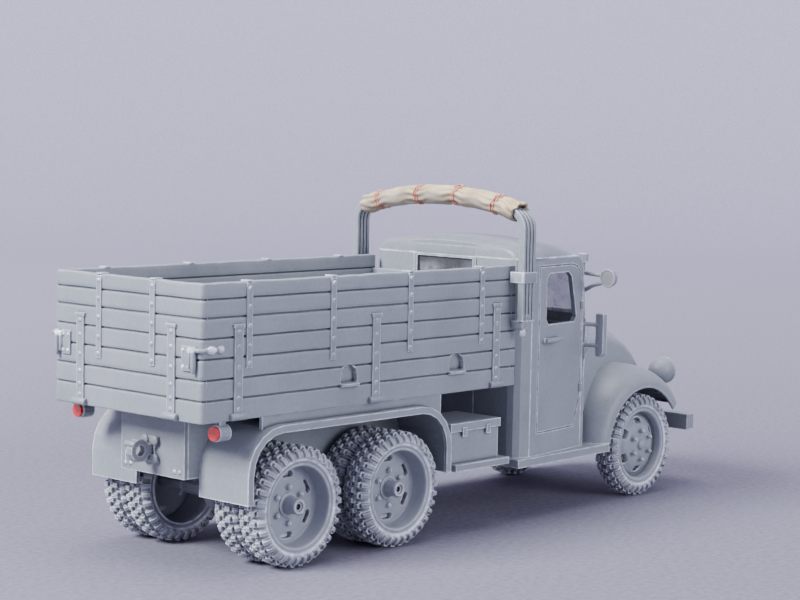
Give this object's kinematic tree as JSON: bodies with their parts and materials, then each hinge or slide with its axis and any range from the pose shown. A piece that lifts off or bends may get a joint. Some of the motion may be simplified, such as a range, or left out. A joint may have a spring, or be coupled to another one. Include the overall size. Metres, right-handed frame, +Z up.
{
  "type": "military cargo truck scale model",
  "caption": "Small painted scale model of a military cargo truck with an open planked bed, folded tilt bows, closed cab and freely turning wheels.",
  "frame": {"origin": "on the ground under the middle of the whole model", "axes": "+X to the front of the truck, +Y to its left, +Z up"},
  "size_m": [0.0896, 0.0308, 0.0401],
  "materials": {
    "body_paint": "blue-grey model paint with dry-brushed edges",
    "tyre_paint": "warm dark grey paint with pale lug tips",
    "red_lens": "red gloss paint",
    "clear_pane": "clear, slightly dusty",
    "tilt_canvas": "tan paint with a brown wash",
    "tie_straps": "red-brown paint",
    "silver_face": "silver paint",
    "interior_paint": "dark grey paint"
  },
  "bodies": {
    "truck": {"chassis_frame": "body_paint", "bed_bearers": "body_paint", "rear_panel": "body_paint", "tow_hook": "body_paint", "tail_lamps": "body_paint", "tail_lamp_lenses": "red_lens", "bed_floor": "body_paint", "bed_side_left": "body_paint", "bed_side_right": "body_paint", "bed_front_board": "body_paint", "tailgate": "body_paint", "tailgate_latches": "body_paint", "tilt_bows": "body_paint", "tilt_bow_brackets": "body_paint", "tilt_roll": "tilt_canvas", "tilt_ties": "tie_straps", "cab_floor": "interior_paint", "cab_rear_wall": "body_paint", "cab_side_left": "body_paint", "cab_side_right": "body_paint", "cab_roof": "body_paint", "cab_front_wall": "body_paint", "cab_glass": "clear_pane", "cab_seat": "interior_paint", "dashboard": "interior_paint", "bonnet": "body_paint", "fender_left": "body_paint", "fender_right": "body_paint", "running_board_left": "body_paint", "running_board_right": "body_paint", "headlamps": "body_paint", "headlamp_lenses": "clear_pane", "bumper": "body_paint", "round_mirrors": "body_paint", "mirror_faces": "silver_face", "indicators": "body_paint", "roof_markers": "body_paint", "mudguard_left": "body_paint", "mudguard_right": "body_paint", "toolbox_left": "body_paint", "toolbox_right": "body_paint", "front_axle": "body_paint", "middle_axle": "body_paint", "rear_axle": "body_paint", "leaf_springs": "body_paint", "drive_shafts": "body_paint"},
    "rear_wheel_left": {"rear_tyre_left": "tyre_paint", "rear_rim_left": "body_paint"},
    "rear_wheel_right": {"rear_tyre_right": "tyre_paint", "rear_rim_right": "body_paint"},
    "middle_wheel_left": {"middle_tyre_left": "tyre_paint", "middle_rim_left": "body_paint"},
    "middle_wheel_right": {"middle_tyre_right": "tyre_paint", "middle_rim_right": "body_paint"},
    "front_wheel_left": {"front_tyre_left": "tyre_paint", "front_rim_left": "body_paint"},
    "front_wheel_right": {"front_tyre_right": "tyre_paint", "front_rim_right": "body_paint"}
  },
  "joints": [
    {"name": "rear_wheel_left_spin", "type": "hinge", "parent": "truck", "child": "rear_wheel_left", "pos_m": [-0.03053, 0.01, 0.00655], "axis": [0, 1, 0], "continuous": true},
    {"name": "rear_wheel_right_spin", "type": "hinge", "parent": "truck", "child": "rear_wheel_right", "pos_m": [-0.03053, -0.01, 0.00655], "axis": [0, 1, 0], "continuous": true},
    {"name": "middle_wheel_left_spin", "type": "hinge", "parent": "truck", "child": "middle_wheel_left", "pos_m": [-0.01494, 0.01, 0.00655], "axis": [0, 1, 0], "continuous": true},
    {"name": "middle_wheel_right_spin", "type": "hinge", "parent": "truck", "child": "middle_wheel_right", "pos_m": [-0.01494, -0.01, 0.00655], "axis": [0, 1, 0], "continuous": true},
    {"name": "front_wheel_left_spin", "type": "hinge", "parent": "truck", "child": "front_wheel_left", "pos_m": [0.0322, 0.01, 0.00655], "axis": [0, 1, 0], "continuous": true},
    {"name": "front_wheel_right_spin", "type": "hinge", "parent": "truck", "child": "front_wheel_right", "pos_m": [0.0322, -0.01, 0.00655], "axis": [0, 1, 0], "continuous": true}
  ]
}
